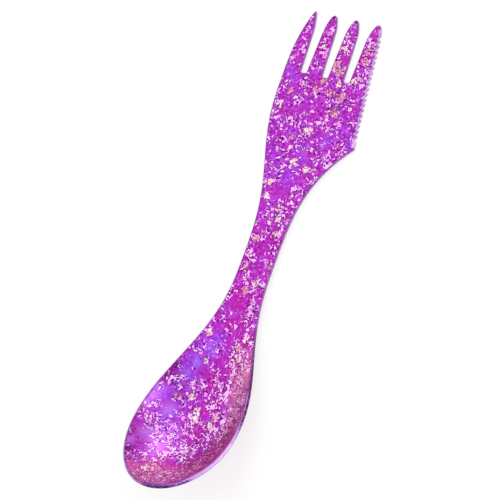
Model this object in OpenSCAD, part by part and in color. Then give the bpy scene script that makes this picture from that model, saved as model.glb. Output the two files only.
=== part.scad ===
// Double-ended camping spork, pressed in one piece from titanium sheet: a deep
// spoon bowl at one end, a four-tined fork at the other, and a serrated knife
// edge ground along one outer side of the fork. Millimetres. +X runs from the
// bowl to the tine tips, and the bowl is open upwards, along +Z. The spork
// lies as it does on a table, and the origin is the middle of its footprint.
// Outlines are the edges of the top face, seen from above, with x measured
// from the tip of the bowl and y from the centre line.

/* [Sheet] */
// Length of the top face, from the tip of the bowl to the tine tips
blade_l = 169.1; // [160:0.1:190]
// Thickness of the sheet
sheet_t = 1; // [0.8:0.1:1.4]
// Rounding of the stamped edges
edge_r = 0.25; // [0.1:0.05:0.35]

/* [Bowl] */
// Width of the bowl between its top edges
bowl_w = 37.5; // [32:0.5:44]
// From the tip of the bowl to its widest place
nose_l = 22.2; // [18:0.1:28]
// Depth of the bowl below its rim
bowl_depth = 7.7; // [4:0.1:10]
// From the tip of the bowl to where its hollow runs out
hollow_l = 65; // [50:1:75]
// Height of the rim at the tip of the bowl, over the level of the tine tips
bowl_tip_h = 21.6; // [14:0.1:26]

/* [Waist] */
// From the tip of the bowl to the narrowest place of the handle
waist_x = 83.3; // [78:0.1:90]
// Width of the handle at its narrowest place
waist_w = 11.9; // [9:0.1:16]
// Height of the top face at the waist, over the level of the tine tips
waist_h = 1.8; // [1:0.1:4]

/* [Fork] */
// From the tine tips back to where the plain side of the fork is widest
plain_side_l = 19.2; // [12:0.1:24]
// Half width of the fork on its plain side
plain_side_w = 15.8; // [14:0.1:18]
// How far the plain side has drawn in again at the tine tips
plain_side_lean = 3.4; // [1:0.1:4.5]
// From the tine tips back to the shoulder where the knife edge starts
shoulder_l = 42.8; // [36:0.1:48]
// Half width of the fork at the shoulder
shoulder_w = 19.8; // [17:0.1:22]
// Half width of the fork on the knife side, at the tine tips
knife_tip_w = 14.8; // [13.6:0.1:16]
// Rounding of the shoulder
shoulder_r = 0.8; // [0.4:0.1:1.5]

/* [Tines] */
// Distance from one slot to the next
slot_pitch = 8.56; // [7.8:0.01:9]
// From the tine tips back to the root of each slot
slot_l = 21.8; // [14:0.1:26]
// Width of a slot at its root
slot_root_w = 3; // [2:0.1:3.4]
// Width of a slot where the tines end
slot_tip_w = 4.8; // [3.6:0.1:5.2]
// How far the rounding of a slot's root reaches up its sides
slot_root_r = 1.1; // [0.6:0.1:1.6]
// Length of the pointed end of a tine
tine_point_l = 6.3; // [4:0.1:8]

/* [Knife edge] */
// Distance from one tooth to the next
tooth_pitch = 1.85; // [1.4:0.01:2.6]
// Depth of the notches between the teeth
tooth_depth = 0.85; // [0.3:0.05:1]
// Plain stretch between the shoulder and the first tooth
tooth_start = 2.2; // [1.5:0.1:4]
// From the tine tip back to the last tooth
tooth_stop = 3.2; // [3:0.1:8]
// From the tine tip back to where the bevel has run out
bevel_stop = 1.4; // [1:0.1:2.4]
// Width of the bevel ground along the knife edge
bevel_w = 1.6; // [1.2:0.1:2.2]
// Thickness that is left at the points of the teeth
tooth_land = 0.35; // [0.2:0.05:0.6]

/* [Hidden] */

// Powers that shape the curves: higher ones keep their bend nearer one end
neck_power = 3.4;
rim_power = 2.64;
flare_in_power = 2.8;
flare_out_power = 5;
shoulder_power = 3;
point_power = 1.7;
point_round_power = 0.55;
root_power = 0.7;
// How flat the floor of the bowl is, from 0 for a parabola to 1
floor_share = 0.5;
// Where the tip of each tine lies across its width, from its right side
tip_shares = [0.8, 0.5, 0.5, 0.43];
// Corners of one notch: share of the way from one tooth to the next, and of its depth
notch_shares = [[0, 0], [0.13, 0.1], [0.25, 0.95], [0.4, 1], [0.85, 0.12]];
// Most that the edge's rounding takes of the thickness that is left there
round_share = 0.3;

// Rows of the mesh along each stretch, and columns across a tine and a slot
nose_rows = 12;
neck_rows = 15;
flare_rows = 15;
corner_rows = 3;
knife_rows = 7;
tine_rows = 6;
point_rows = 3;
tip_rows = 5;
tine_cols = 3;
slot_cols = 4;
cols = 4 * tine_cols + 3 * slot_cols;

plain_widest_x = blade_l - plain_side_l;
shoulder_x = blade_l - shoulder_l;
root_x = blade_l - slot_l;
point_x = blade_l - tine_point_l;
bevel_end_x = blade_l - bevel_stop;
// Where the straight sides of the slots start, past their rounded roots
fork_x = root_x + slot_root_r;
// Half the distance over which slopes of the top face are measured
probe_share = 0.01;
probe = sheet_t * probe_share;

// Share of the way from a to b that x has come, held between 0 and 1
function way(x, a, b) = min(1, max(0, (x - a) / (b - a)));
// A step from 0 to 1 that starts and ends without a bend
function soft(u) = pow(u, 3) * (10 - 15 * u + 6 * u * u);
function unit(v) = v / norm(v);

// Square of the half width of the bowl and neck. It goes on smoothly past the tip
function neck_square(x) =
    x < nose_l
    ? pow(bowl_w / 2, 2) * (1 - pow(1 - x / nose_l, 2))
    : pow(
        waist_w / 2 + (bowl_w - waist_w) / 2 * pow(1 - pow(way(x, nose_l, waist_x), 2), neck_power),
        2
    );
function neck_side(x) = sqrt(max(0, neck_square(x)));

// Half width on the plain side, from the waist to the tine tips
function plain_side(x) =
    waist_w / 2
    + (plain_side_w - waist_w / 2)
        * (1 - pow(1 - pow(way(x, waist_x, plain_widest_x), flare_in_power), flare_out_power))
    - plain_side_lean * pow(way(x, plain_widest_x, blade_l), 2);

// Half width on the knife side, from the waist to the shoulder
function flare_side(x) =
    waist_w / 2 + (shoulder_w - waist_w / 2) * pow(way(x, waist_x, shoulder_x), shoulder_power);

// Half width on the knife side, along the points of the teeth, if it went on to the end
function knife_side(x) = shoulder_w + (knife_tip_w - shoulder_w) * (x - shoulder_x) / shoulder_l;

// Height of the straight line along which the handle and fork lie
function lie(x) = waist_h + (sheet_t - waist_h) * (x - waist_x) / (blade_l - waist_x);
// Height of the rim, which rises from the waist to the tip of the bowl
function rim(x) = lie(x) + (bowl_tip_h - lie(0)) * pow(max(0, 1 - x / waist_x), rim_power);
// Depth of the hollow below the rim
function hollow(x, y) =
    let (s = (neck_square(x) - y * y) / pow(bowl_w / 2, 2))
    bowl_depth * (1 - soft(way(x, nose_l, hollow_l))) * s * (1 + floor_share - floor_share * s);
function top_z(x, y) = rim(x) - hollow(x, y);

// Direction square to the top face
function square_up(x, y) =
    unit([
        (top_z(x - probe, y) - top_z(x + probe, y)) / (2 * probe),
        (top_z(x, y - probe) - top_z(x, y + probe)) / (2 * probe),
        1
    ]);

// A point [x, y, drop] of the plan, set on the top face less what is ground off
function upper(p) =
    [p.x, p.y, top_z(p.x, p.y)] - (len(p) > 2 ? p.z : 0) * square_up(p.x, p.y);
// The point of the underside that lies square below it
function under(p) = [p.x, p.y, top_z(p.x, p.y)] - sheet_t * square_up(p.x, p.y);

// Half width of the slots
function slot_side(x) =
    slot_root_w / 2 + (slot_tip_w - slot_root_w) / 2 * way(x, fork_x, blade_l);
// Width of a tine against that of its straight stretch
function point_share(x) = pow(1 - pow(way(x, point_x, blade_l), point_power), point_round_power);
// Sides of tine 0 to 3 before they are drawn to a point, from the plain side
function tine_left(k, x) = k == 0 ? plain_side(x) : (2 - k) * slot_pitch - slot_side(x);
function tine_right(k, x) = k == 3 ? -knife_side(x) : (1 - k) * slot_pitch + slot_side(x);
// A place across tine k, where share is 1 on its left side and 0 on its right side
function across(k, x, share) =
    let (drawn = tip_shares[k] + (share - tip_shares[k]) * point_share(x))
    [x, tine_left(k, x) * drawn + tine_right(k, x) * (1 - drawn)];

// Half width along the points of the teeth, which bends in with the tine's pointed end
function tooth_side(x) = x < fork_x ? knife_side(x) : -across(3, x, 0).y;
// How far the bevel has come to its full width, which fades at both ends
function bevel_share(x) =
    way(x, knife_start.x, knife_start.x + tooth_start)
    * (1 - way(x, blade_l - tooth_stop, bevel_end_x));
// Inner edge of the bevel, as a half width
function bevel_side(x) = tooth_side(x) - bevel_w * bevel_share(x);
// What the bevel takes off the top, at a distance in from the line of the teeth
function ground(x, inset) = (sheet_t - tooth_land) * max(0, bevel_share(x) - inset / bevel_w);

// A sheet of points between four edges, which meet at its corners
function patch(left, right, first, last) =
    let (n = len(left) - 1, m = len(first) - 1)
    [
        for (i = [0 : n])
            [
                for (j = [0 : m])
                    i == 0 ? first[j]
                    : i == n ? last[j]
                    : j == 0 ? left[i]
                    : j == m ? right[i]
                    : first[j] * (1 - i / n) + last[j] * i / n
                        + left[i] * (1 - j / m) + right[i] * j / m
                        - (first[0] * (1 - j / m) + first[m] * j / m) * (1 - i / n)
                        - (last[0] * (1 - j / m) + last[m] * j / m) * i / n
            ]
    ];

// Stations along the spork
nose_xs = [for (i = [0 : nose_rows]) nose_l * (1 - cos(90 * i / nose_rows))];
neck_xs = [for (i = [0 : neck_rows]) nose_l + (waist_x - nose_l) * i / neck_rows];
palm_rows = flare_rows + corner_rows + knife_rows;
palm_xs = [for (i = [0 : palm_rows]) waist_x + (fork_x - waist_x) * i / palm_rows];
tine_xs = [
    for (i = [0 : tine_rows - 1]) fork_x + (point_x - fork_x) * i / tine_rows,
    for (i = [0 : point_rows - 1]) point_x + (bevel_end_x - point_x) * i / point_rows,
    for (i = [0 : tip_rows]) bevel_end_x + bevel_stop * sin(90 * i / tip_rows)
];

// The shoulder's corner, and how far its rounding reaches along both lines
shoulder = [shoulder_x, -shoulder_w];
flare_way = unit([waist_x - shoulder_x, shoulder_power * (shoulder_w - waist_w / 2)]);
knife_way = unit([blade_l, -knife_tip_w] - shoulder);
corner_turn = 180 - acos(flare_way * knife_way);
corner_reach = shoulder_r * tan(corner_turn / 2);
flare_end = shoulder + flare_way * corner_reach;
knife_start = shoulder + knife_way * corner_reach;
// The rounding itself, drawn from three points as a curve that meets both lines
corner_edge = [
    for (i = [0 : corner_rows])
        let (u = i / corner_rows)
        flare_end * pow(1 - u, 2) + shoulder * 2 * u * (1 - u) + knife_start * u * u
];

// Edges of the body, from the bowl to the fork
nose_left = [for (x = nose_xs) [x, neck_side(x)]];
nose_right = [for (x = nose_xs) [x, -neck_side(x)]];
neck_left = [for (x = neck_xs) [x, neck_side(x)]];
neck_right = [for (x = neck_xs) [x, -neck_side(x)]];
palm_left = [for (x = palm_xs) [x, plain_side(x)]];
flare_edge = [
    for (i = [0 : flare_rows - 1])
        let (x = waist_x + (flare_end.x - waist_x) * i / flare_rows)
        [x, -min(flare_side(x), -flare_end.y)]
];
knife_xs = [
    for (i = [1 : knife_rows]) knife_start.x + (fork_x - knife_start.x) * i / knife_rows
];
knife_line = [for (x = knife_xs) [x, -bevel_side(x)]];
palm_right = concat(flare_edge, corner_edge, knife_line);

// Edges of the tines. Tine 3 stops at the bevel on its knife side
tine_left_edges = [for (k = [0 : 3]) [for (x = tine_xs) across(k, x, 1)]];
tine_right_edges = [
    for (k = [0 : 3])
        [
            for (x = tine_xs)
                k == 3 && x < bevel_end_x ? [x, -bevel_side(x)] : across(k, x, 0)
        ]
];

// The rounded root of the slot between tines k and k + 1
function slot_root(k) = [
    for (j = [0 : slot_cols])
        let (turn = 180 * j / slot_cols)
        [
            fork_x - slot_root_r * pow(sin(turn), root_power),
            (1 - k) * slot_pitch + slot_side(fork_x) * cos(turn)
        ]
];
slot_roots = [for (k = [0 : 2]) slot_root(k)];

// Rows across the body where its stretches meet
tip_row = [for (j = [0 : cols]) nose_left[0]];
widest_row = [for (j = [0 : cols]) [nose_l, neck_side(nose_l) * (1 - 2 * j / cols)]];
waist_row = [for (j = [0 : cols]) [waist_x, waist_w / 2 * (1 - 2 * j / cols)]];
function tine_root(k) = [
    for (j = [0 : tine_cols])
        tine_left_edges[k][0] * (1 - j / tine_cols) + tine_right_edges[k][0] * j / tine_cols
];
tine_roots = [for (k = [0 : 3]) tine_root(k)];
fork_row = [
    for (k = [0 : 3]) each concat(
        tine_roots[k],
        k < 3 ? [for (j = [1 : slot_cols - 1]) slot_roots[k][j]] : []
    )
];

// The whole top face but for the bevel
patches = concat(
    [
        patch(nose_left, nose_right, tip_row, widest_row),
        patch(neck_left, neck_right, widest_row, waist_row),
        patch(palm_left, palm_right, waist_row, fork_row)
    ],
    [
        for (k = [0 : 3])
            patch(
                tine_left_edges[k],
                tine_right_edges[k],
                tine_roots[k],
                [for (j = [0 : tine_cols]) across(k, blade_l, 0)]
            )
    ]
);

// The serrated outline. Each notch is steep behind one tooth and shallow up to the next
teeth_x = knife_start.x + tooth_start;
teeth_l = blade_l - tooth_stop - teeth_x;
tooth_count = max(1, round(teeth_l / tooth_pitch));
function tooth_point(x, inset) = [x, inset - tooth_side(x), ground(x, inset)];
// Row of the tine where the bevel has run out
bevel_end_row = tine_rows + point_rows;
tooth_edge = concat(
    [knife_start],
    [
        for (i = [0 : tooth_count - 1], corner = notch_shares)
            tooth_point(teeth_x + teeth_l * (i + corner[0]) / tooth_count, tooth_depth * corner[1])
    ],
    [tooth_point(teeth_x + teeth_l, 0)],
    [tine_right_edges[3][bevel_end_row]]
);
// The inner edge of the bevel, from the same first point to the same last one
bevel_edge = concat(
    [knife_start],
    knife_line,
    [for (i = [1 : bevel_end_row]) tine_right_edges[3][i]]
);

// The whole outline, once round from the tip of the bowl by the plain side
function backwards(list) = [for (i = [len(list) - 1 : -1 : 0]) list[i]];
function inner(list) = [for (i = [1 : len(list) - 2]) list[i]];
function tail(list) = [for (i = [1 : len(list) - 1]) list[i]];
outline = concat(
    nose_left,
    tail(neck_left),
    tail(palm_left),
    [
        for (k = [0 : 2]) each concat(
            tail(tine_left_edges[k]),
            tail(backwards(tine_right_edges[k])),
            tail(slot_roots[k])
        )
    ],
    tail(tine_left_edges[3]),
    [for (i = [bevel_end_row + tip_rows - 1 : -1 : bevel_end_row]) tine_right_edges[3][i]],
    tail(backwards(tooth_edge)),
    tail(backwards(corner_edge)),
    backwards(flare_edge),
    tail(backwards(neck_right)),
    inner(backwards(nose_right))
);

// Direction out of the sheet at one point of the outline, along the top face
function outward(i) =
    let (
        n = len(outline),
        here = [outline[i].x, outline[i].y],
        before = [outline[(i + n - 1) % n].x, outline[(i + n - 1) % n].y],
        after = [outline[(i + 1) % n].x, outline[(i + 1) % n].y],
        way_on = unit(here - before) + unit(after - here),
        flat = [-way_on.y, way_on.x, 0],
        up = square_up(here.x, here.y)
    )
    unit(flat - (flat * up) * up);

// Four corners of the rounded edge at one point of the outline, from the top down
function edge_corners(i) =
    let (
        p = outline[i],
        up = square_up(p.x, p.y),
        drop = len(p) > 2 ? p.z : 0,
        round_r = min(edge_r, round_share * (sheet_t - drop)),
        out = outward(i) * round_r
    )
    [
        upper(p),
        upper(p) + out - up * round_r,
        under(p) + out + up * round_r,
        under(p)
    ];
rings = [for (i = [0 : len(outline) - 1]) edge_corners(i)];

// Triangles of a sheet of points, seen from above, and of a band between two edges
function sheet_triangles(g) = [
    for (i = [0 : len(g) - 2], j = [0 : len(g[0]) - 2])
        each [
            [g[i][j], g[i + 1][j], g[i + 1][j + 1]],
            [g[i][j], g[i + 1][j + 1], g[i][j + 1]]
        ]
];
function band_triangles(a, b, i = 0, j = 0) =
    i == len(a) - 1 && j == len(b) - 1
    ? []
    : (j == len(b) - 1 || (i < len(a) - 1 && a[i + 1].x <= b[j + 1].x))
    ? concat([[a[i], a[i + 1], b[j]]], band_triangles(a, b, i + 1, j))
    : concat([[a[i], b[j + 1], b[j]]], band_triangles(a, b, i, j + 1));

bevel_band = band_triangles(bevel_edge, tooth_edge);
grids_above = [for (g = patches) [for (row = g) [for (p = row) upper(p)]]];
grids_below = [for (g = patches) [for (row = g) [for (p = row) under(p)]]];
faces_above = concat(
    [for (g = grids_above) each sheet_triangles(g)],
    [for (t = bevel_band) [for (p = t) upper(p)]]
);
faces_below = concat(
    [for (g = grids_below) for (t = sheet_triangles(g)) backwards(t)],
    [for (t = bevel_band) backwards([for (p = t) under(p)])]
);
faces_round = [
    for (i = [0 : len(rings) - 1], j = [0 : 2])
        let (a = rings[i], b = rings[(i + 1) % len(rings)])
        each [[b[j], a[j], a[j + 1]], [b[j], a[j + 1], b[j + 1]]]
];
// Triangles that close up at the tip of the bowl and of each tine are left out
faces = [
    for (t = concat(faces_above, faces_below, faces_round))
        if (t[0] != t[1] && t[1] != t[2] && t[2] != t[0]) t
];
corners = [for (t = faces) each t];

// Middle of the footprint, at the lowest point
low_x = min([for (p = corners) p.x]);
high_x = max([for (p = corners) p.x]);
low_y = min([for (p = corners) p.y]);
high_y = max([for (p = corners) p.y]);
low_z = min([for (p = corners) p.z]);
foot = [(low_x + high_x) / 2, (low_y + high_y) / 2, low_z];

module spork() {
    color("mediumorchid")
        translate(-foot)
            polyhedron(corners, [for (i = [0 : len(faces) - 1]) [3 * i, 3 * i + 1, 3 * i + 2]]);
}

spork();
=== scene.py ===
import bmesh
import bpy
import math
import numpy as np
from mathutils import Matrix, Vector


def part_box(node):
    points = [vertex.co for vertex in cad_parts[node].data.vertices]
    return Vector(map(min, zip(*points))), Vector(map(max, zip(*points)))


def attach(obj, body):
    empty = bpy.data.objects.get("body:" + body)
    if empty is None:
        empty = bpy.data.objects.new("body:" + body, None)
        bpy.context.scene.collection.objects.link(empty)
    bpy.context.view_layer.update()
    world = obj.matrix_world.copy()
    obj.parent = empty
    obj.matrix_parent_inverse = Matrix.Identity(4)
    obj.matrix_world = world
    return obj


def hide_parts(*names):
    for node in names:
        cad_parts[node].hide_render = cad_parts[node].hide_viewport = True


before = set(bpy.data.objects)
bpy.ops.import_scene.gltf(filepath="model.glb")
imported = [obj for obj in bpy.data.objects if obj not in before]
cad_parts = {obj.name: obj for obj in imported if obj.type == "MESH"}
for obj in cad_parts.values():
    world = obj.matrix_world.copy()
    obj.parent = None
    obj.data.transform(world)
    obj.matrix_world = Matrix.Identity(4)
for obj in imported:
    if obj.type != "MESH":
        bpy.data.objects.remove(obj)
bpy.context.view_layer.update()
mm = 0.001

# Spork
# The whole spork is one piece of 1 mm titanium sheet. It is blanked and slotted, its
# edges are tumbled round, a press gives it its bowl and its slight lift, a wheel
# grinds its knife edge, and an anodising bath colours it.

# The blank is a flat slab: x from the bowl's tip to the tines, z 0 on the top face
blade_l = 169.1 * mm
sheet_t = 1.0 * mm
edge_r = 0.25 * mm
bowl_w = 37.5 * mm
nose_l = 22.2 * mm
waist_x = 83.3 * mm
waist_w = 11.9 * mm
plain_widest_x = blade_l - 19.2 * mm
plain_side_w = 15.8 * mm
plain_side_lean = 3.4 * mm
shoulder_l = 42.8 * mm
shoulder_x = blade_l - shoulder_l
shoulder_w = 19.8 * mm
shoulder_r = 0.8 * mm
knife_tip_w = 14.8 * mm
slot_pitch = 8.56 * mm
slot_root_w = 3.0 * mm
slot_tip_w = 4.8 * mm
slot_root_r = 1.1 * mm
fork_x = blade_l - 21.8 * mm + slot_root_r
point_x = blade_l - 6.3 * mm
tip_shares = (0.8, 0.5, 0.5, 0.43)
neck_power, flare_in_power, flare_out_power, shoulder_power = 3.4, 2.8, 5, 3
point_power, point_round_power, root_power = 1.7, 0.55, 0.7

# The knife edge, whose teeth and bevel are ground later
tooth_pitch = 1.85 * mm
tooth_start = 2.2 * mm
tooth_end_x = blade_l - 3.2 * mm
bevel_end_x = blade_l - 1.4 * mm
bevel_w = 1.6 * mm
tooth_land = 0.35 * mm
notch_shares = [(0, 0), (0.13, 0.1), (0.25, 0.95), (0.4, 1), (0.85, 0.12), (1, 0)]

# Rows and columns of points on the blank, and the smallest gaps between them
nose_rows, neck_rows, flare_rows, tine_rows, point_rows = 41, 81, 51, 31, 21
corner_rows, bevel_end_rows = 9, 8
tine_cols, slot_cols, bevel_cols, round_steps = 8, 8, 6, 5
cols = 4 * tine_cols + 3 * slot_cols
row_gap = 0.04 * mm
merge_gap = 0.002 * mm
hair = 1e-9


def way(x, a, b):
    """Rises from 0 at a to 1 at b."""
    return np.clip((x - a) / (b - a), 0, 1)


def bowl_side(x):
    nose = bowl_w / 2 * np.sqrt(np.clip(1 - (1 - x / nose_l) ** 2, 0, 1))
    neck = waist_w / 2 + (bowl_w - waist_w) / 2 * (1 - way(x, nose_l, waist_x) ** 2) ** neck_power
    return np.where(x < nose_l, nose, neck)


def plain_side(x):
    flare = 1 - (1 - way(x, waist_x, plain_widest_x) ** flare_in_power) ** flare_out_power
    lean = plain_side_lean * way(x, plain_widest_x, blade_l) ** 2
    return waist_w / 2 + (plain_side_w - waist_w / 2) * flare - lean


def flare_side(x):
    return waist_w / 2 + (shoulder_w - waist_w / 2) * way(x, waist_x, shoulder_x) ** shoulder_power


def knife_side(x):
    return shoulder_w + (knife_tip_w - shoulder_w) * (x - shoulder_x) / shoulder_l


def slot_side(x):
    return slot_root_w / 2 + (slot_tip_w - slot_root_w) / 2 * way(x, fork_x, blade_l)


def across(k, x, share):
    """Places across tine k, where share is 1 on its left side and 0 on its right."""
    left = plain_side(x) if k == 0 else (2 - k) * slot_pitch - slot_side(x)
    right = -knife_side(x) if k == 3 else (1 - k) * slot_pitch + slot_side(x)
    width = (1 - way(x, point_x, blade_l) ** point_power) ** point_round_power
    drawn = tip_shares[k] + (share - tip_shares[k]) * width
    return np.stack([x, left * drawn + right * (1 - drawn)], -1)


def pair(x, y):
    return np.stack(np.broadcast_arrays(x, y), -1)


def patch(left, right, first, last):
    """A sheet of points between four edges, with straight rows across."""
    left, right, first, last = (np.asarray(e, float) for e in (left, right, first, last))
    u = ((left[:, 0] - left[0, 0]) / (left[-1, 0] - left[0, 0]))[:, None, None]
    v = np.linspace(0, 1, len(first))[None, :, None]
    sheet = first[None] * (1 - u) + last[None] * u + left[:, None] * (1 - v) + right[:, None] * v
    straight_first = first[0] * (1 - v) + first[-1] * v
    straight_last = last[0] * (1 - v) + last[-1] * v
    sheet -= straight_first * (1 - u) + straight_last * u
    sheet[0], sheet[-1], sheet[:, 0], sheet[:, -1] = first, last, left, right
    return sheet


# The shoulder's corner is rounded between the flare and the knife line
corner = np.array([shoulder_x, -shoulder_w])
flare_way = np.array([waist_x - shoulder_x, shoulder_power * (shoulder_w - waist_w / 2)])
flare_way /= np.linalg.norm(flare_way)
knife_way = np.array([blade_l, -knife_tip_w]) - corner
knife_way /= np.linalg.norm(knife_way)
corner_reach = shoulder_r * math.tan((math.pi - math.acos(flare_way @ knife_way)) / 2)
flare_end, knife_start = corner + flare_way * corner_reach, corner + knife_way * corner_reach
turn = np.linspace(0, 1, corner_rows)[:, None]
corner_edge = flare_end * (1 - turn) ** 2 + corner * 2 * turn * (1 - turn) + knife_start * turn**2

# Rows along the knife edge: nine to a tooth, closer together where a notch is steep
teeth_x = knife_start[0] + tooth_start
tooth_count = round((tooth_end_x - teeth_x) / tooth_pitch)
tooth_l = (tooth_end_x - teeth_x) / tooth_count
tooth_row_shares = np.array([0, 0.07, 0.13, 0.19, 0.25, 0.32, 0.4, 0.6, 0.85])
knife_xs = np.concatenate([
    np.linspace(knife_start[0], teeth_x, bevel_end_rows)[:-1],
    (teeth_x + (np.arange(tooth_count)[:, None] + tooth_row_shares) * tooth_l).ravel(),
    np.linspace(tooth_end_x, bevel_end_x, bevel_end_rows),
])
knife_xs = np.append(knife_xs[np.abs(knife_xs - fork_x) > row_gap], fork_x)
knife_xs.sort()
fork_at = np.searchsorted(knife_xs, fork_x)


def bevel_share(x):
    return way(x, knife_start[0], teeth_x) * (1 - way(x, tooth_end_x, bevel_end_x))


def tooth_side(x):
    return np.where(x < fork_x, knife_side(x), -across(3, x, 0)[..., 1])


tooth_line = pair(knife_xs, -tooth_side(knife_xs))
bevel_line = pair(knife_xs, bevel_w * bevel_share(knife_xs) - tooth_side(knife_xs))

# The edges of the bowl, the palm and the four tines
nose_xs = nose_l * (1 - np.cos(np.linspace(0, math.pi / 2, nose_rows)))
neck_xs = np.linspace(nose_l, waist_x, neck_rows)
flare_xs = np.linspace(waist_x, flare_end[0], flare_rows)[:-1]
tine_xs = np.concatenate([
    np.linspace(fork_x, point_x, tine_rows)[:-1],
    blade_l + (point_x - blade_l) * np.cos(np.linspace(0, math.pi / 2, point_rows)),
])
flip = np.array([1, -1])
nose_left, neck_left = pair(nose_xs, bowl_side(nose_xs)), pair(neck_xs, bowl_side(neck_xs))
flare_edge = pair(flare_xs, -np.minimum(flare_side(flare_xs), -flare_end[1]))
palm_right = np.concatenate([flare_edge, corner_edge, bevel_line[1 : fork_at + 1]])
palm_left = pair(palm_right[:, 0], plain_side(palm_right[:, 0]))
knife_tine_xs = np.append(knife_xs[fork_at:], tine_xs[tine_xs > bevel_end_x + row_gap / 2])
all_tine_xs = [tine_xs] * 3 + [knife_tine_xs]
tine_left = [across(k, x, 1) for k, x in enumerate(all_tine_xs)]
tine_right = [across(k, x, 0) for k, x in enumerate(all_tine_xs)]
beside_bevel = knife_tine_xs <= bevel_end_x
tine_right[3][beside_bevel] = bevel_line[fork_at:]

# The row of points where the palm becomes tines, with round roots to the slots
round_turn = np.linspace(0, math.pi, slot_cols + 1)
slot_roots = [
    pair(
        fork_x - slot_root_r * np.sin(round_turn).clip(0) ** root_power,
        (1 - k) * slot_pitch + slot_side(fork_x) * np.cos(round_turn),
    )
    for k in range(3)
]
spread = np.linspace(0, 1, tine_cols + 1)[:, None]
tine_roots = [tine_left[k][0] * (1 - spread) + tine_right[k][0] * spread for k in range(4)]
fork_row = [tine_roots[0]]
for k in range(3):
    fork_row += [slot_roots[k][1:-1], tine_roots[k + 1]]
fork_row = np.concatenate(fork_row)

levels = 1 - 2 * np.linspace(0, 1, cols + 1)
tip_row = np.zeros((cols + 1, 2))
widest_row = pair(nose_l, bowl_w / 2 * levels)
waist_row = pair(waist_x, waist_w / 2 * levels)
sheets = [
    patch(nose_left, nose_left * flip, tip_row, widest_row),
    patch(neck_left, neck_left * flip, widest_row, waist_row),
    patch(palm_left, palm_right, waist_row, fork_row),
]
for k in range(4):
    tine_end = np.repeat(tine_left[k][-1:], tine_cols + 1, 0)
    sheets.append(patch(tine_left[k], tine_right[k], tine_roots[k], tine_end))
bevel_ends = [np.repeat(end, bevel_cols + 1, 0) for end in (bevel_line[:1], bevel_line[-1:])]
sheets.append(patch(bevel_line, tooth_line, *bevel_ends))

# The outline, once round from the bowl's tip by the plain side
outline = [nose_left[:-1], neck_left[:-1], palm_left[:-1]]
for k in range(3):
    outline += [tine_left[k][:-1], tine_right[k][::-1][:-1], slot_roots[k][:-1]]
outline += [
    tine_left[3][:-1],
    tine_right[3][~beside_bevel][::-1],
    tooth_line[::-1][:-1],
    corner_edge[::-1],
    flare_edge[::-1][:-1],
    (neck_left * flip)[::-1][:-1],
    (nose_left * flip)[::-1][:-1],
]
outline = np.concatenate(outline)
steps = np.roll(outline, -1, 0) - outline
steps /= np.linalg.norm(steps, axis=1, keepdims=True)
heading = steps + np.roll(steps, 1, 0)
heading /= np.linalg.norm(heading, axis=1, keepdims=True)
outward = np.column_stack([-heading[:, 1], heading[:, 0], np.zeros(len(outline))])


def from_outline(points):
    """Distance of each point from the nearest place on the outline."""
    nearest = np.full(len(points), np.inf)
    for a, b in zip(outline, np.roll(outline, -1, 0)):
        share = np.clip((points - a) @ (b - a) / ((b - a) @ (b - a)), 0, 1)[:, None]
        nearest = np.minimum(nearest, np.linalg.norm(points - a - share * (b - a), axis=1))
    return nearest


corners, faces, outwards = [], [], []
marks = {"edge_gap": [], "knife_gap": [], "depth": [], "turn": []}


def add_grid(places, edge_gap, knife_gap, depth, turn=0, out=(0, 0, 0), closed=False):
    """Adds a grid of points and its faces. A closed one joins up with its first row."""
    rows, columns = places.shape[:2]
    number = len(corners) + np.arange(rows * columns).reshape(rows, columns)
    corners.extend(places.reshape(-1, 3))
    for name, value in zip(marks, (edge_gap, knife_gap, depth, turn)):
        marks[name].extend(np.broadcast_to(value, (rows, columns)).ravel())
    outwards.extend(np.broadcast_to(out, (rows, columns, 3)).reshape(-1, 3))
    after = np.roll(number, -1, 0) if closed else number[1:]
    before = number if closed else number[:-1]
    quads = np.stack([before[:, :-1], after[:, :-1], after[:, 1:], before[:, 1:]], -1)
    faces.extend(quads.reshape(-1, 4).tolist())


def knife_gap_of(places):
    """Distance in from the line of the teeth, as far as the bevel reaches."""
    x, y = places[..., 0], places[..., 1]
    beside = (x >= knife_start[0] - hair) & (x <= bevel_end_x + hair)
    return np.where(beside, np.minimum(y + tooth_side(x), bevel_w), bevel_w)


for sheet in sheets:
    edge_gap = from_outline(sheet.reshape(-1, 2)).reshape(sheet.shape[:2])
    for depth in (0, sheet_t):
        flat = np.concatenate([sheet, np.full(sheet.shape[:2] + (1,), -depth)], -1)
        add_grid(flat, edge_gap, knife_gap_of(sheet), depth / sheet_t)

# The cut edge, with rows for rounding it at the top and at the underside
quarter = np.linspace(0, math.pi / 2, round_steps + 1)
turns = np.concatenate([quarter, quarter[::-1]])
depths = edge_r * (1 - np.cos(quarter))
depths = np.concatenate([depths, sheet_t - depths[::-1]])
wall = np.stack([np.column_stack([outline, np.full(len(outline), -d)]) for d in depths], 1)
wall_gap, wall_out = knife_gap_of(outline)[:, None], outward[:, None]
add_grid(wall, -edge_r * turns, wall_gap, depths / sheet_t, turns, wall_out, closed=True)


def set_mark(mesh, name, values):
    """Stores a number with each point of a mesh."""
    mesh.attributes.new(name, "FLOAT", "POINT").data.foreach_set("value", values)


blank = bpy.data.meshes.new("spork")
blank.from_pydata([tuple(p) for p in corners], [], faces)
for name, values in marks.items():
    set_mark(blank, name, values)
outward_mark = blank.attributes.new("outward", "FLOAT_VECTOR", "POINT")
outward_mark.data.foreach_set("vector", np.ravel(outwards))
shell = bmesh.new()
shell.from_mesh(blank)
bmesh.ops.remove_doubles(shell, verts=shell.verts, dist=merge_gap)
bmesh.ops.recalc_face_normals(shell, faces=shell.faces)
shell.to_mesh(blank)
shell.free()

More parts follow.
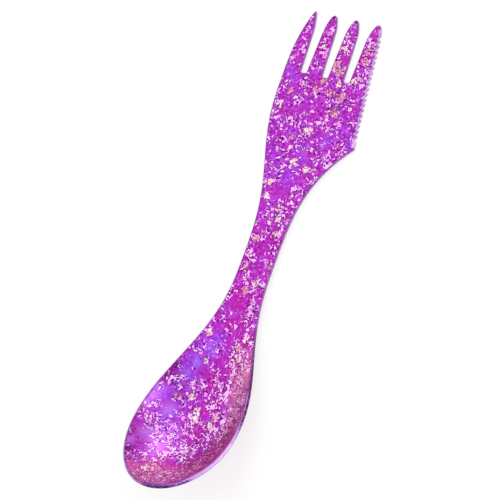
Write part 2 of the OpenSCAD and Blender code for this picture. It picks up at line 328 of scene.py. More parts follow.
# The press bends the blank and the wheel grinds it. Their rules are node trees, which
# move each point of the slab to its place on the finished sheet.
bowl_depth = 7.7 * mm
hollow_l = 65.0 * mm
bowl_tip_h = 21.6 * mm
waist_h = 1.8 * mm
tooth_depth = 0.85 * mm
rim_power, floor_share, round_share = 2.64, 0.5, 0.3


class Number:
    """A number in a node tree, so that its formulas can be written out."""

    def __init__(self, socket):
        self.socket = socket

    def __add__(self, other):
        return reckon("ADD", self, other)

    def __radd__(self, other):
        return reckon("ADD", other, self)

    def __sub__(self, other):
        return reckon("SUBTRACT", self, other)

    def __rsub__(self, other):
        return reckon("SUBTRACT", other, self)

    def __mul__(self, other):
        return reckon("MULTIPLY", self, other)

    def __rmul__(self, other):
        return reckon("MULTIPLY", other, self)

    def __truediv__(self, other):
        return reckon("DIVIDE", self, other)

    def __rtruediv__(self, other):
        return reckon("DIVIDE", other, self)

    def __pow__(self, other):
        return reckon("POWER", self, other)

    def __neg__(self):
        return reckon("MULTIPLY", self, -1)


def put(socket, value):
    """Gives a node's input a value, or links it to the output that the value comes from."""
    if isinstance(value, Number):
        value = value.socket
    if isinstance(value, bpy.types.NodeSocket):
        socket.id_data.links.new(value, socket)
    else:
        socket.default_value = value


def reckon(kind, *values, clamp=False):
    """One step of a formula, in the tree that its numbers come from."""
    tree = next(v.socket.id_data for v in values if isinstance(v, Number))
    node = tree.nodes.new("ShaderNodeMath")
    node.operation = kind
    node.use_clamp = clamp
    for socket, value in zip(node.inputs, values):
        put(socket, value)
    return Number(node.outputs[0])


def band(value, low, high):
    """Rises from 0 at low to 1 at high."""
    return reckon("DIVIDE", value - low, high - low, clamp=True)


def length(*parts):
    return reckon("SQRT", sum(p * p for p in parts))


def parts_of(vector):
    """The x, y and z of a vector, as numbers."""
    node = vector.id_data.nodes.new("ShaderNodeSeparateXYZ")
    put(node.inputs[0], vector)
    return [Number(socket) for socket in node.outputs]


def new_tree(name, inputs, output):
    """A node tree with number inputs of the given names, and those inputs as numbers."""
    tree = bpy.data.node_groups.new(name, "GeometryNodeTree")
    sockets = [("Geometry", "INPUT"), ("Geometry", "OUTPUT")]
    if output != "Geometry":
        sockets = [(output, "OUTPUT")]
    for word, side in sockets + [(word, "INPUT") for word in inputs]:
        kind = "NodeSocketGeometry" if word == "Geometry" else "NodeSocketFloat"
        tree.interface.new_socket(word, in_out=side, socket_type=kind)
    start, end = tree.nodes.new("NodeGroupInput"), tree.nodes.new("NodeGroupOutput")
    return tree, start, end, {word: Number(start.outputs[word]) for word in inputs}


sheet_sizes = {
    "lie at the fork": sheet_t,
    "lie at the waist": waist_h,
    "waist from tip": waist_x,
    "fork end from tip": blade_l,
    "bowl width": bowl_w,
    "waist width": waist_w,
    "widest from tip": nose_l,
    "bowl depth": bowl_depth,
    "hollow length": hollow_l,
    "tip height": bowl_tip_h,
}

# Height of the top face over a place of the blank
height_name = "height of the pressed sheet"
top_tree, start, end, size = new_tree(height_name, ["x", "y", *sheet_sizes], "height")
x, y = size["x"], size["y"]
waist_at, widest_at = size["waist from tip"], size["widest from tip"]
fork_lie, waist_lie = size["lie at the fork"], size["lie at the waist"]
fork_rise = (fork_lie - waist_lie) / (size["fork end from tip"] - waist_at)
lie = waist_lie + fork_rise * (x - waist_at)
tip_lie = waist_lie - fork_rise * waist_at
rise = (size["tip height"] - tip_lie) * reckon("MAXIMUM", 1 - x / waist_at, 0) ** rim_power
half, waist_half = size["bowl width"] * 0.5, size["waist width"] * 0.5
back = 1 - x / widest_at
nose_square = half * half * (1 - back * back)
along_neck = band(x, widest_at, waist_at)
neck_half = waist_half + (half - waist_half) * (1 - along_neck * along_neck) ** neck_power
in_nose = reckon("LESS_THAN", x, widest_at)
half_square = nose_square * in_nose + neck_half * neck_half * (1 - in_nose)
floor = (half_square - y * y) / (half * half)

# The hollow runs out smoothly along the neck
u = band(x, widest_at, size["hollow length"])
fade = u * u * u * (10 - 15 * u + 6 * u * u)
hollow = size["bowl depth"] * (1 - fade) * floor * (1 + floor_share - floor_share * floor)
put(end.inputs["height"], lie + rise - hollow)

# Moving each point of the blank
press_sizes = {
    **sheet_sizes,
    "teeth start": teeth_x,
    "teeth end": tooth_end_x,
    "knife start": knife_start[0],
    "bevel end": bevel_end_x,
    "tooth length": tooth_l,
    "notch depth": tooth_depth,
    "bevel width": bevel_w,
    "tooth land": tooth_land,
    "sheet thickness": sheet_t,
    "edge rounding": edge_r,
}
press, start, end, size = new_tree("grind and press", press_sizes, "Geometry")


def marked(name, kind="FLOAT"):
    node = press.nodes.new("GeometryNodeInputNamedAttribute")
    node.data_type = kind
    node.inputs["Name"].default_value = name
    return node.outputs["Attribute"]


def notch(at):
    """Depth of the notches at a place along the teeth."""
    curve = press.nodes.new("ShaderNodeFloatCurve")
    line = curve.mapping.curves[0]
    for i, place in enumerate(notch_shares):
        point = line.points[i] if i < 2 else line.points.new(*place)
        point.location = place
    for point in line.points:
        point.handle_type = "VECTOR"
    curve.mapping.update()
    first, last = size["teeth start"], size["teeth end"]
    put(curve.inputs["Value"], reckon("FRACT", (at - first) / size["tooth length"]))
    inside = reckon("GREATER_THAN", at, first) * reckon("LESS_THAN", at, last)
    return size["notch depth"] * inside * Number(curve.outputs[0])


def height(x, y):
    node = press.nodes.new("GeometryNodeGroup")
    node.node_tree = top_tree
    put(node.inputs["x"], x)
    put(node.inputs["y"], y)
    for word in sheet_sizes:
        put(node.inputs[word], size[word])
    return Number(node.outputs[0])


# The wheel: how much it takes off the sheet, and how round it leaves the edges
probe = 0.01 * mm
thickness = size["sheet thickness"]
x, y, z = parts_of(press.nodes.new("GeometryNodeInputPosition").outputs[0])
out_x, out_y, _ = parts_of(marked("outward", "FLOAT_VECTOR"))
turn, gap = Number(marked("turn")), Number(marked("knife_gap"))
keep = 1 - reckon("DIVIDE", gap, size["bevel width"], clamp=True)
inset = notch(x)
slope = (notch(x + probe) - notch(x - probe)) / (2 * probe)
share = band(x, size["knife start"], size["teeth start"])
share *= 1 - band(x, size["teeth end"], size["bevel end"])
ground_share = share - (gap + inset * keep) / size["bevel width"]
ground = (thickness - size["tooth land"]) * reckon("MAXIMUM", ground_share, 0)
rounding = reckon("MINIMUM", size["edge rounding"], round_share * (thickness - ground))
moved_y = y + inset * keep

# The press: each point's place under, and out from, the curved top face
reach = 0.05 * mm
least_l = 0.001
slope_x = (height(x + reach, moved_y) - height(x - reach, moved_y)) / (2 * reach)
slope_y = (height(x, moved_y + reach) - height(x, moved_y - reach)) / (2 * reach)
up_l = length(slope_x, slope_y, 1)
up = (-slope_x / up_l, -slope_y / up_l, 1 / up_l)
edge_x = out_x - slope * out_y * reckon("GREATER_THAN", keep, 0)
edge_z = edge_x * slope_x + out_y * slope_y
edge_l = reckon("MAXIMUM", length(edge_x, out_y, edge_z), least_l)
out_now = rounding * reckon("SINE", turn) / edge_l
under = reckon("LESS_THAN", z, thickness * -0.5)
rounded = rounding * (1 - reckon("COSINE", turn))
depth = under * (thickness - rounded) + (1 - under) * (ground + rounded)
place = press.nodes.new("ShaderNodeCombineXYZ")
on_top, edge_way = (x, moved_y, height(x, moved_y)), (edge_x, out_y, edge_z)
for i in range(3):
    put(place.inputs[i], on_top[i] + out_now * edge_way[i] - up[i] * depth)
move = press.nodes.new("GeometryNodeSetPosition")
put(move.inputs["Geometry"], start.outputs["Geometry"])
put(move.inputs["Position"], place.outputs[0])
real = press.nodes.new("GeometryNodeRealizeInstances")
put(real.inputs[0], move.outputs[0])
coloured = press.nodes.new("GeometryNodeSetMaterial")
put(coloured.inputs["Geometry"], real.outputs[0])
put(end.inputs["Geometry"], coloured.outputs[0])

# The colour is an oxide film grown in a bath over etched crystals: violet to magenta,
# with pale flecks where a crystal faces another way. From here on lengths on the
# sheet are in millimetres, and each spot is a place on it and a radius.
spots = {
    "violet": [
        (128, -10, 4.5), (131, -13.5, 3), (50, 5, 6), (44, 8, 4.5), (38.5, 10, 4.5),
        (30, 14.5, 4.5), (25, 11, 5), (146, 12, 3.5), (113.4, 3.7, 3), (106.5, -19, 5),
        (121.7, -1, 3), (111.4, 0, 4), (34, 12, 5),
    ],
    "magenta": [
        (133.5, 11, 3), (145.3, 3, 2.5), (100.4, 5.6, 2.5), (93.6, 4.4, 2), (67.3, 2.3, 5),
        (62, -3, 5), (76.6, 1, 3), (79, -2, 4), (54, -8, 5), (150.7, -8.5, 3), (15, 17.5, 3),
        (9.5, 13.5, 3.5), (135.3, -5.5, 2.5), (38, 1, 5), (33.5, -3, 5), (28, 1, 4),
        (24, -4, 5), (46, -3, 5), (158, 5, 8), (157, -8, 8), (6, 2, 6), (10, -5, 6),
        (88, 0, 6), (71, 0, 4),
    ],
    # lilac: a paler film that is partly a painted highlight, on the bowl's floor and upper wall
    # where the lamps reflect
    "lilac_and_highlight": [
        (16.5, 12, 4), (17.2, 6.5, 3.8), (12.5, 8, 3.5), (25.6, 18.6, 2.6), (28.5, 17.6, 2.6),
        (32, 16.8, 2), (12, 16, 1.8), (16.5, 14, 2.8), (26, 12, 2.6),
    ],
    # maroon: painted shade low on the bowl's knife-side wall
    "maroon_shade": [(11, -7, 3.5), (15, -10.5, 3.5), (20, -12, 3), (33.5, -13.2, 2.5)],
    # dark: painted shade on the bowl's rim and walls and at the tine tips
    "dark": [
        (40, 15, 2.2), (37, 15.7, 2.6), (36, 13.8, 2.2), (14.7, 18, 1.6), (9, 14.8, 1.4),
        (24, -13, 1.6), (168.6, 12, 1.5), (168.6, 4.3, 1.3), (168.6, -4.3, 1.3),
    ],
    "crowd": [
        (160, 12, 7), (158, 4, 6), (157, -5, 6), (17, 9, 5), (12, 3, 5), (20, -6, 6),
        (10, -4, 5), (8, 8, 5), (31, -8, 6), (38, -8, 6), (45, -10, 4), (26, 2, 5),
        (57, 2, 3), (131, 8, 5), (141, -5, 5), (127, 5, 5), (131, -8, 5), (33, -12, 4),
        (40, -10, 4), (26, -12.5, 3), (138, -12, 4), (107.6, -3, 4), (37, 15, 2.5),
        (30, -14.5, 3.5), (36, -13, 3.5), (49, -7, 3), (73.5, -6, 2.5), (70, -5, 2.5),
        (66, -6, 2.5), (152, -4.5, 4), (159, -12, 3), (139, -11.5, 5), (134, -13, 4),
        (145, -4, 4),
    ],
    "calm": [
        (143.5, 10.7, 2.5), (127.5, -8.2, 3), (152.7, -13.6, 1.8), (118, 11, 2.5),
        (109.5, -1.5, 3), (105.5, 1.5, 3), (100, 5.3, 2), (105, -5.6, 2), (88, -1.4, 2.6),
        (45.6, 9.5, 2), (40, 10.5, 2.5), (45, 5.6, 2), (29.5, 15, 3.5), (26.5, 11.5, 3.5),
        (29, 18, 3), (135, 4.3, 2.2), (135, -9.6, 2), (69.6, -6, 2), (58, -3.3, 2),
        (137, 1.5, 2.5), (71, 0, 2.5), (61, 0, 2), (46.5, -0.5, 2.5), (5, 8.5, 3),
        (11, -6.5, 3), (155.5, -4.6, 2), (165.5, -13.5, 2.5), (67, 1.8, 4), (72, 1.5, 2.5),
        (53, -1.5, 3), (132, 16.5, 2.5), (42, -3, 3.5), (16, 14, 3), (93, 0, 3), (27, -1, 2.5),
    ],
    "cream": [
        (128.6, -1.1, 2.3), (135.4, 12.9, 1.6), (117, 0.3, 2.2), (115.7, -5.5, 1.9),
        (108.7, 5.9, 1.7), (146.4, -6.2, 1.7), (149, -11.6, 1.8), (158.7, -3.7, 1.9),
        (157.7, 4.4, 1.3), (100.9, -0.6, 1.7), (97.4, -2.1, 1.9), (45.2, 5.5, 1.6),
        (32.3, 6.6, 1.8), (28.3, 3.2, 1.6), (25.4, 2.1, 1.7), (25, -4.4, 1.9),
        (15.4, -1.6, 1.3), (5, 5.6, 1.6), (103.8, 5.4, 1.6), (54.6, 7.9, 1.9),
        (55.9, -6.3, 1.3),
    ],
    "salmon": [
        (141.9, -9, 2.2), (136.5, -8.4, 2.2), (125.2, 4, 1.4), (140.5, 10.6, 1.6),
        (142.8, 1.7, 1.6), (146.6, -0.5, 1.8), (143, -4.3, 2), (159.5, -12.7, 1.7),
        (155.8, -12.6, 1.7), (91.9, -2.8, 1.6), (89, 3.5, 1.6), (79.5, 3.9, 2),
        (81.3, -5.8, 1.6), (74.3, -2.1, 1.8), (52.3, -4.6, 1.9), (48.5, -6.6, 1.9),
        (30.8, 10.9, 1.5), (28.6, -4.6, 2), (153, -2.8, 2.2), (150.6, -5, 2.4),
        (152, -7, 1.8), (71, 0.5, 2), (36, -12.5, 2.5), (31, -12.8, 2.5), (42, -10, 2.2),
    ],
}
spot_fade = 1.4

# Widths of the film's clouds, curls, stars and crystals
cloud_w, grain_w, patch_w, streak_w, ragged_w, dash_w = 7.0, 4.2, 2.4, 1.1, 0.8, 1.3
crowd_w, curl_w, short_curl_w, star_w, star_tone_w = 4.5, 1.9, 1.5, 1.3, 0.7
large_fleck, middle_fleck = (2.3, 1.3), (1.3, 0.75)
small_fleck, dark_speck = (0.62, 0.46), (0.7, 0.55)
shade_off, speck_off, short_curl_off = (0.15, 0.48, 0), (31, 17, 5), (40, 3, 9)

titanium = bpy.data.materials.new("anodised titanium")
titanium.use_nodes = True
film = titanium.node_tree
shader = film.nodes["Principled BSDF"]


def paint(code):
    """The linear colour of a six-digit colour code."""
    parts = [int(code[i : i + 2], 16) / 255 for i in (0, 2, 4)]
    return tuple(c / 12.92 if c < 0.04045 else ((c + 0.055) / 1.055) ** 2.4 for c in parts) + (1,)


def vector(kind, first, second=None, scale=None):
    node = film.nodes.new("ShaderNodeVectorMath")
    node.operation = kind
    put(node.inputs[0], first)
    if second is not None:
        put(node.inputs[1], second)
    if scale is not None:
        put(node.inputs["Scale"], scale)
    return node.outputs[0]


def noise(at, size, detail):
    node = film.nodes.new("ShaderNodeTexNoise")
    put(node.inputs["Vector"], at)
    node.inputs["Scale"].default_value = 1 / size
    node.inputs["Detail"].default_value = detail
    return node


def cloudy(at, size, detail):
    """Clouds about as large as size, with values around 0.5."""
    return Number(noise(at, size, detail).outputs["Fac"])


def bent(at, size, amount):
    """Places moved about by clouds of that size, by about the amount."""
    centred = vector("SUBTRACT", noise(at, size, 2.0).outputs["Color"], (0.5, 0.5, 0.5))
    return vector("ADD", at, vector("SCALE", centred, scale=2 * amount))


def turned_by(at, angle):
    node = film.nodes.new("ShaderNodeVectorRotate")
    node.rotation_type = "Z_AXIS"
    put(node.inputs["Vector"], at)
    put(node.inputs["Angle"], angle)
    return node.outputs[0]


def cells(at, size):
    """Three random values for each crystal of about that size."""
    node = film.nodes.new("ShaderNodeTexVoronoi")
    put(node.inputs["Vector"], at)
    node.inputs["Scale"].default_value = 1 / size
    return parts_of(node.outputs["Color"])


def mark(name):
    """A number that is stored with the points of the sheet."""
    node = film.nodes.new("ShaderNodeAttribute")
    node.attribute_name = name
    return Number(node.outputs["Fac"])


def ramp(value, *stops):
    """Colours along a value. Each stop is a place and a colour code, in order."""
    node = film.nodes.new("ShaderNodeValToRGB")
    put(node.inputs[0], value)
    line = node.color_ramp.elements
    for i, (place, code) in enumerate([stops[0], stops[-1], *stops[1:-1]]):
        stop = line[i] if i < 2 else line.new(place)
        stop.position = place
        stop.color = paint(code)
    return node.outputs[0]


def blend(share, under, over):
    node = film.nodes.new("ShaderNodeMix")
    node.data_type = "RGBA"
    node.clamp_factor = True
    put(node.inputs[0], share)
    put(node.inputs[6], under)
    put(node.inputs[7], over)
    return node.outputs[2]


def laid_over(under, *layers):
    """A colour with layers on it, each a share and the colour it lays on."""
    for share, over in layers:
        under = blend(share, under, over)
    return under


# The film, from violet to magenta in patches
at = vector("SCALE", film.nodes.new("ShaderNodeTexCoord").outputs["Object"], scale=1 / mm)
grain = cells(bent(at, 2.5, 1.2), grain_w)
patch_tone = cells(bent(at, 1.6, 0.7), patch_w)
clouds = cloudy(at, cloud_w, 2.0)
streaks = cloudy(bent(at, 1.5, 0.5), streak_w, 1.5)
fork, calm = mark("fork"), mark("calm")
lively = 1 - calm * 0.6
bright_streak, dark_streak = paint("CF66E8"), paint("74108E")
lilac_film_and_highlight, maroon_painted_shade = paint("C67EF0"), paint("842660")
tone = 0.58 + (clouds - 0.5) * 0.6 + (grain[0] - 0.5) * 0.16 + (patch_tone[0] - 0.5) * 0.12
tone = tone - mark("violet") * (0.4 - fork * 0.18) + mark("magenta") * 0.2 - fork * 0.05
base = laid_over(
    ramp(tone, (0, "9C76F6"), (0.25, "A240DA"), (0.5, "AC2CBC"), (0.75, "B422A6"), (1, "B21984")),
    (band(streaks, 0.5, 0.72) * lively * 0.5, bright_streak),
    ((1 - band(streaks, 0.3, 0.48)) * lively * 0.6, dark_streak),
    # Lilac patches are partly the film's own paler colour and partly a painted highlight in the
    # bowl
    (mark("lilac_and_highlight") * 0.68, lilac_film_and_highlight),
)

# Rose on the bowl's walls that face the fork: a painted sheen for the hue the film shows at a
# grazing view, darker up to the rim as painted shade
rose, rose_painted_light = mark("rose"), mark("rose_painted_light")
rose_depth = rose * (1 + (clouds - 0.5) * 0.6 + (streaks - 0.5) * 0.9)
rose_sheen_and_shade = blend(
    rose_painted_light * 0.9,
    ramp(rose_depth, (0, "B4389C"), (0.45, "C84C9E"), (0.8, "BE4688"), (1, "9C3A68")),
    ramp(patch_tone[2], (0, "D874AE"), (0.5, "C85CA4"), (1, "E89CB4")),
)
base = laid_over(
    base,
    (band(rose_depth, 0.05, 0.35), rose_sheen_and_shade),
    # Maroon is painted shade on the wall near the tip
    (mark("maroon_shade") * (0.7 + (streaks - 0.5) * 0.8), maroon_painted_shade),
)
# rosy carries the painted rose sheen into the flecks and the dark marks
rosy = band(rose_depth, 0.06, 0.4) * (0.85 - rose_painted_light * 0.6)
dark_film = blend(rosy, paint("560264"), paint("6A164A"))


# Flecks are single crystals, and in each grain they lean the same way
def flecks(at, long, wide, amount):
    """Crystals on a share of the sheet: their faces, their rims, and a random value for each."""
    scaled = vector("MULTIPLY", at, (1 / long, 1 / wide, 1 / wide))
    chance, kind, _ = cells(scaled, 1.0)
    border = film.nodes.new("ShaderNodeTexVoronoi")
    border.feature = "DISTANCE_TO_EDGE"
    put(border.inputs["Vector"], scaled)
    border.inputs["Scale"].default_value = 1
    inner = band(Number(border.outputs["Distance"]), 0.06, 0.11)
    chosen = reckon("LESS_THAN", chance, amount)
    return chosen * inner, chosen * (1 - inner), kind


dark, cream, salmon = mark("dark"), mark("cream"), mark("salmon")
starred = reckon("MAXIMUM", cream, salmon)
crowd = cloudy(at, crowd_w, 1.0) + (grain[1] - 0.5) * 0.2 + mark("crowd") * 0.16 - calm * 0.35
crowd = band(crowd, 0.4 - fork * 0.12, 0.6 + fork * 0.1)
large_share = crowd * (0.05 + fork * 0.025) + starred * 0.05 + 0.012
middle_share = crowd * (0.1 + fork * 0.09) + starred * 0.12 + dark * 0.1 + 0.02
small_share = crowd * (0.1 - fork * 0.04) + 0.04 + rose * 0.22
speck_share = 0.01 + crowd * 0.2 + dark * 0.4 + rose * 0.2
leaned = turned_by(bent(at, 0.9, 0.45), grain[2] * (2 * math.pi))
large, large_rim, large_kind = flecks(leaned, *large_fleck, large_share)
middle, middle_rim, middle_kind = flecks(leaned, *middle_fleck, middle_share)
# An offset copy of the middle flecks, painted dark as a shadow beside each fleck
beside, _, _ = flecks(vector("ADD", leaned, shade_off), *middle_fleck, middle_share)
small, _, small_kind = flecks(bent(at, 0.5, 0.25), *small_fleck, small_share)
specks, _, _ = flecks(bent(vector("ADD", at, speck_off), 0.4, 0.2), *dark_speck, speck_share)


def fleck_film(kind):
    """The pale film on a fleck, rosy on the walls and warmer at a star."""
    return laid_over(
        ramp(kind, (0, "FFDAFF"), (0.5, "FFB6FF"), (1, "FF8CFF")),
        (rosy, ramp(kind, (0, "F6ACD2"), (1, "DA669C"))),
        (salmon * 1.2, ramp(kind, (0, "F6A8C4"), (1, "D0749C"))),
        (cream * 1.3, ramp(kind, (0, "FFE8EC"), (1, "ECB0BC"))),
    )


small_film = blend(
    rosy,
    ramp(small_kind, (0, "FFA4FF"), (1, "D85CE2")),
    ramp(small_kind, (0, "FFB4CC"), (1, "CC6C94")),
)


# Thin curls, pale with dark sides
def curls(at, size, kept, face_w, side_w):
    """Winding lines, kept on some crystals only: their faces and their sides."""
    line = reckon("ABSOLUTE", cloudy(at, size, 1.0) - 0.5)
    face = kept * (1 - band(line, *face_w))
    return face, kept * (1 - band(line, *side_w)) - face


curl_film = blend(rosy, paint("FFC6FF"), paint("F8AECC"))
kept = reckon("LESS_THAN", cells(leaned, 1.7)[0], crowd * (0.52 - fork * 0.32) + 0.02)
curl, curl_side = curls(bent(at, 1.2, 0.3), curl_w, kept, (0.034, 0.048), (0.085, 0.105))
other = vector("ADD", at, short_curl_off)
other_cells = cells(bent(other, 0.9, 0.3), 1.4)
kept = reckon("LESS_THAN", other_cells[1], crowd * (0.28 - fork * 0.17) + 0.01)
winding = bent(other, 1.0, 0.25)
short_curl, short_side = curls(winding, short_curl_w, kept, (0.036, 0.052), (0.09, 0.11))

# Star crystals, cream or salmon
near_star = reckon("GREATER_THAN", starred, 0.12)
star_tone = band(cloudy(at, star_tone_w, 1.0), 0.35, 0.65)
star_noise = (cloudy(bent(at, 0.8, 0.4), star_w, 1.5) - 0.5) * 2.2


def star(kind, amount, *stops):
    """The dark rim and the face of the stars of one kind, as two layers."""
    edge = kind + star_noise
    return (
        (band(edge, 0.37, 0.47) * near_star * 0.7, dark_film),
        (band(edge, 0.55, 0.63) * near_star * amount, ramp(star_tone, *stops)),
    )


colour_now = laid_over(
    base,
    (specks * 0.8, dark_film),
    # Dark spots are painted shade on the bowl's rim and walls and at the tine tips
    (dark * (0.45 + specks * 0.55), paint("2C0040")),
    (small * 0.8, small_film),
    (band(salmon, 0.45, 0.75) * 0.6, paint("D878A0")),
    (short_side * 0.85, dark_film),
    (curl_side * 0.9, dark_film),
    *star(salmon, 0.8, (0, "CC7CA4"), (0.5, "E698B6"), (1, "FAC4D8")),
    *star(cream, 0.9, (0, "E4A0C4"), (0.5, "F8CCDA"), (1, "FFECF4")),
    # painted shadow beside each fleck
    (beside * 0.95, dark_film),
    (short_curl * 0.95, curl_film),
    (curl * 0.95, curl_film),
    (middle_rim * 0.9, dark_film),
    (middle, fleck_film(middle_kind)),
    (large_rim * 0.9, dark_film),
    (large, fleck_film(large_kind)),
)

# The ground bevel is pale, with painted shade in the notches along its inner side
bevel_gap, tooth_shade = mark("knife_gap") / mm, mark("tooth_shade")
ragged = cloudy(at, ragged_w, 2.0) - 0.5
bevelled = 1 - band(bevel_gap + ragged * 1.6, 0.3, 1.0)
inner_side = band(bevel_gap, 0.3, 0.6) * (1 - band(bevel_gap, 1.1, 1.4))
colour_now = laid_over(
    colour_now,
    (bevelled * 0.75, ramp(patch_tone[2], (0, "F8DCFC"), (1, "D48CE4"))),
    (inner_side * tooth_shade * 0.55, paint("5A1070")),
)

# The cut edge is mauve, with dark dashes along its corners. It is painted lighter near its top and
# darker towards the underside, with painted shade along the top corner and painted light and shade
# on each notch's wall
edge_gap, depth = mark("edge_gap") / mm, mark("depth")
dashes = band(cloudy(at, dash_w, 1.0) + ragged * 0.4, 0.42, 0.58)
corner_shade_line = (1 - band(edge_gap + ragged * 0.4, 0.06, 0.34)) * (1 - bevelled * 0.8)
edge_film_light_and_shade = laid_over(
    ramp(depth + ragged * 0.4, (0.1, "9C5CAC"), (0.3, "CC96D8"), (0.7, "B480C0"), (1, "784686")),
    (dashes * 0.4, paint("74387F")),
    (bevelled * 0.7, blend(tooth_shade, paint("E0B4EC"), paint("6C4478"))),
)
colour_now = laid_over(
    colour_now,
    (corner_shade_line * (0.2 + dashes * 0.6), paint("4A1058")),
    ((1 - band(edge_gap, 0.0, 0.07)) * 0.95, edge_film_light_and_shade),
)

# The bowl's rim is painted with a pale reflection inside and with shade, darker towards the tip
# and the handle
lip = mark("lip")
lip_gap = edge_gap - (0.05 + mark("lip_wide") * 1.1)
rim_top_reflection = ramp(
    mark("rim_top_light"), (0, "3A0C48"), (0.3, "8848B8"), (0.5, "DCA8E8"), (1, "EAC0F4")
)
rim_edge_reflection_and_shade = ramp(
    mark("rim_light_tone"),
    (0, "340E40"),
    (0.16, "6A2862"),
    (0.3, "8040B0"),
    (0.5, "7A4C90"),
    (0.8, "C098E0"),
    (1, "E4ACF8"),
)
rim_reflection_and_shade = laid_over(
    rim_edge_reflection_and_shade,
    # The lower part of the rim's edge is darkened as painted shade
    (band(depth + ragged * 0.2, 0.6, 1) * 0.55, paint("5A2E68")),
    (band(ragged, 0.04, 0.2) * 0.5, paint("E4BCFC")),
    (band(-ragged, 0.04, 0.2) * 0.45, paint("4C2468")),
    (1 - band(depth, 0.02, 0.12), rim_top_reflection),
)
colour_now = laid_over(
    colour_now,
    # A dark line just inside the pale rim, painted shade
    ((1 - band(lip_gap, 0.2, 0.5)) * lip * 0.6, paint("54103E")),
    ((1 - band(lip_gap, 0, 0.12)) * lip, rim_reflection_and_shade),
)
put(shader.inputs["Base Color"], colour_now)
put(shader.inputs["Roughness"], 0.4 + patch_tone[1] * 0.06)
shader.inputs["Metallic"].default_value = 1
shader.inputs["Coat Weight"].default_value = 0.06
shader.inputs["Coat Roughness"].default_value = 0.3
coloured.inputs["Material"].default_value = titanium

# The blank goes through the press, and the marks for its colour are laid on the
# pressed sheet. It lies as the part does, on the bowl's bottom and the tine tips.
smooth_angle = math.radians(35)
raw = bpy.data.objects.new("blank", blank)
bpy.context.scene.collection.objects.link(raw)
grind = raw.modifiers.new("grind and press", "NODES")
grind.node_group = press
for socket in press.interface.items_tree:
    if socket.in_out == "INPUT" and socket.name in press_sizes:
        grind[socket.identifier] = press_sizes[socket.name]
pressed_raw = raw.evaluated_get(bpy.context.evaluated_depsgraph_get())
pressed = bpy.data.meshes.new_from_object(pressed_raw)
bpy.data.objects.remove(raw)
pressed.name = "spork_sheet"
places = np.empty(len(pressed.vertices) * 3)
pressed.vertices.foreach_get("co", places)
places = places.reshape(-1, 3)
sheet_x, sheet_y = places[:, 0] / mm, places[:, 1] / mm
rim_gap = np.empty(len(places))
pressed.attributes["edge_gap"].data.foreach_get("value", rim_gap)
rim_gap /= mm

# Each spot fades out from its middle, and where two overlap the stronger one counts
for name, group in spots.items():
    share = np.zeros(len(places))
    for x, y, radius in group:
        away = np.hypot(sheet_x - x, sheet_y - y) / radius
        share = np.maximum(share, np.exp(-(away**2) * spot_fade))
    set_mark(pressed, name, share)

# Painted rose sheen on the walls, from the rim down, with painted light near the tip and along the
# neck
wall_w = 11
facing = np.clip((6 - sheet_y) / 14 + way(sheet_x, 14, 0), 0, 1) * way(sheet_x, 55, 37)
set_mark(pressed, "rose", facing * (1 - way(rim_gap, 0, wall_w)))
set_mark(pressed, "rose_painted_light", way(sheet_x, 20, 36) + 0.6 * way(sheet_x, 6, 2))
set_mark(pressed, "fork", way(sheet_x, 60, 85))


def along(where, *stops):
    """A value that runs straight from stop to stop, each a place and the value there."""
    return np.interp(where, *zip(*stops))


# The rim's painted reflection and shade are on the knife side: their share, their tones and their
# width
rim_light_tones = [
    (0, 0.05), (1.2, 0), (2.2, 0.3), (4.6, 0.3), (6.5, 0.9), (20, 1), (25, 0.75), (30, 0.12),
    (60, 0.16),
]
rim_top_lights = [
    (0, 0.3), (1.2, 0.3), (2.2, 0.4), (4.6, 0.4), (6.5, 0.9), (24, 1), (36, 0.7), (40, 0.3),
]
lip_widths = [(0, 0.3), (4, 0.3), (8, 1), (17, 1), (24, 0.35), (36, 0)]
set_mark(pressed, "lip", way(sheet_y, 1.5, -1.5) * way(sheet_x, 62, 48))
set_mark(pressed, "rim_light_tone", along(sheet_x, *rim_light_tones))
set_mark(pressed, "rim_top_light", along(sheet_x, *rim_top_lights))
set_mark(pressed, "lip_wide", along(sheet_x, *lip_widths))

# Each notch has a painted light side and a painted shaded side
notch_shades = [(0, 0.1), (0.3, 0), (0.5, 0.2), (0.75, 1), (0.95, 0.8), (1, 0.1)]
toothed = (sheet_x > teeth_x / mm) & (sheet_x < tooth_end_x / mm)
notch_place = np.where(toothed, (sheet_x * mm - teeth_x) / tooth_l % 1, 0)
set_mark(pressed, "tooth_shade", along(notch_place, *notch_shades))

low, high = (np.array(corner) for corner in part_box("spork"))
shift = (low + high) / 2 - (places.min(0) + places.max(0)) / 2
pressed.vertices.foreach_set("co", (places + shift).ravel())
pressed.update()
pressed.set_sharp_from_angle(angle=smooth_angle)
for face in pressed.polygons:
    face.use_smooth = True
spork = bpy.data.objects.new("spork_sheet", pressed)
bpy.context.scene.collection.objects.link(spork)
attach(spork, "root")
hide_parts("spork")

# Table
# A plain white card that the spork rests on. The camera and the metal see it white,
# less the shadow of the spork.
half_card = 2
card_white, card_seen, card_glow = 0.8, 0.35, 0.72


def seen_directly(tree):
    """1 where the camera looks, also in a reflection, and 0 where light lands."""
    path = tree.nodes.new("ShaderNodeLightPath")
    kinds = ("Camera", "Glossy", "Transmission")
    camera, glossy, through = (Number(path.outputs[f"Is {kind} Ray"]) for kind in kinds)
    return reckon("MAXIMUM", reckon("MAXIMUM", camera, glossy), through)


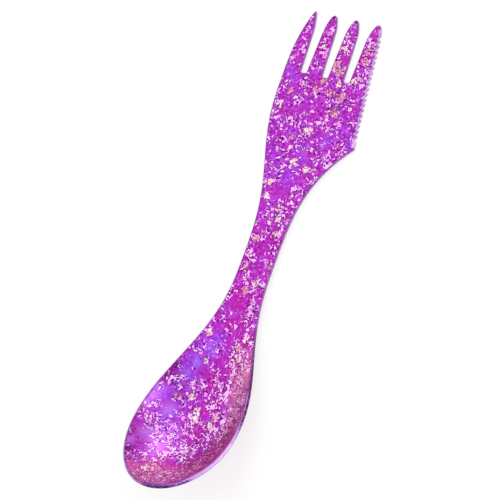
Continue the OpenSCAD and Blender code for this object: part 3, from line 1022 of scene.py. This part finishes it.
card = bpy.data.materials.new("white card")
card.use_nodes = True
card_tree = card.node_tree
card_shader = card_tree.nodes["Principled BSDF"]
card_shader.inputs["Roughness"].default_value = 0.8
card_shader.inputs["Specular IOR Level"].default_value = 0
card_shader.inputs["Emission Color"].default_value = (1, 1, 1, 1)
card_white_seen = seen_directly(card_tree)
card_colour = card_tree.nodes.new("ShaderNodeMix")
card_colour.data_type = "RGBA"
card_colour.inputs[6].default_value = (card_white, card_white, card_white, 1)
card_colour.inputs[7].default_value = (card_seen, card_seen, card_seen, 1)
put(card_colour.inputs[0], card_white_seen)
put(card_shader.inputs["Base Color"], card_colour.outputs[2])
put(card_shader.inputs["Emission Strength"], card_white_seen * card_glow)
card_corners = [(x * half_card, y * half_card, 0) for x, y in ((-1, -1), (1, -1), (1, 1), (-1, 1))]
card_mesh = bpy.data.meshes.new("table")
card_mesh.from_pydata(card_corners, [], [(0, 1, 2, 3)])
card_mesh.materials.append(card)
table = bpy.data.objects.new("table", card_mesh)
bpy.context.scene.collection.objects.link(table)

# Daylight
# A white room, a wide dim lamp overhead, and a soft lamp at each of the two places
# where the bowl reflects a broad highlight.
room_light = 0.75
world = bpy.data.worlds.new("white room")
bpy.context.scene.world = world
world.use_nodes = True
room = world.node_tree
background = room.nodes["Background"]
background.inputs["Color"].default_value = (1, 1, 1, 1)
put(background.inputs["Strength"], room_light + seen_directly(room) * (1 - room_light))


def soft_lamp(name, way_to, size, strength):
    """A round lamp one metre off, whose face is strength times as bright as white."""
    lamp = bpy.data.lights.new(name, "AREA")
    lamp.shape, lamp.size = "DISK", size
    lamp.energy = strength * math.pi * math.pi * size * size / 4
    holder = bpy.data.objects.new(name, lamp)
    way_to = Vector(way_to).normalized()
    turned = way_to.to_track_quat("Z", "Y").to_matrix().to_4x4()
    holder.matrix_world = Matrix.Translation(way_to) @ turned
    bpy.context.scene.collection.objects.link(holder)


soft_lamp("lamp over the fork", (0.88, 0.2, 0.45), 0.5, 2.2)
soft_lamp("lamp in front", (0.28, -0.82, 0.5), 0.5, 1.6)
soft_lamp("lamp overhead", (0.11, 0.52, 0.85), 1.2, 0.27)

# Camera
# The photo's own view, from in front of the knife side and well above the table. Its
# place, way and lens were solved from the outline in the photo.
camera_distance = 849.86
lens_l, film_w = 184.75, 36
right = Vector((0.333924, -0.822763, -0.459953))
up_way = Vector((0.936252, 0.232967, 0.26298))
toward = right.cross(up_way).normalized()
aim = Vector((0.007, 2.446, 5.282)) * mm
lens = bpy.data.cameras.new("camera")
lens.lens, lens.sensor_width = lens_l, film_w
lens.clip_start, lens.clip_end = 0.01, 10
camera = bpy.data.objects.new("camera", lens)
bpy.context.scene.collection.objects.link(camera)
turned = Matrix((right.normalized(), up_way.normalized(), toward)).transposed().to_4x4()
camera.matrix_world = Matrix.Translation(aim + toward * camera_distance * mm) @ turned
bpy.context.scene.camera = camera
bpy.context.scene.view_settings.view_transform = "Standard"
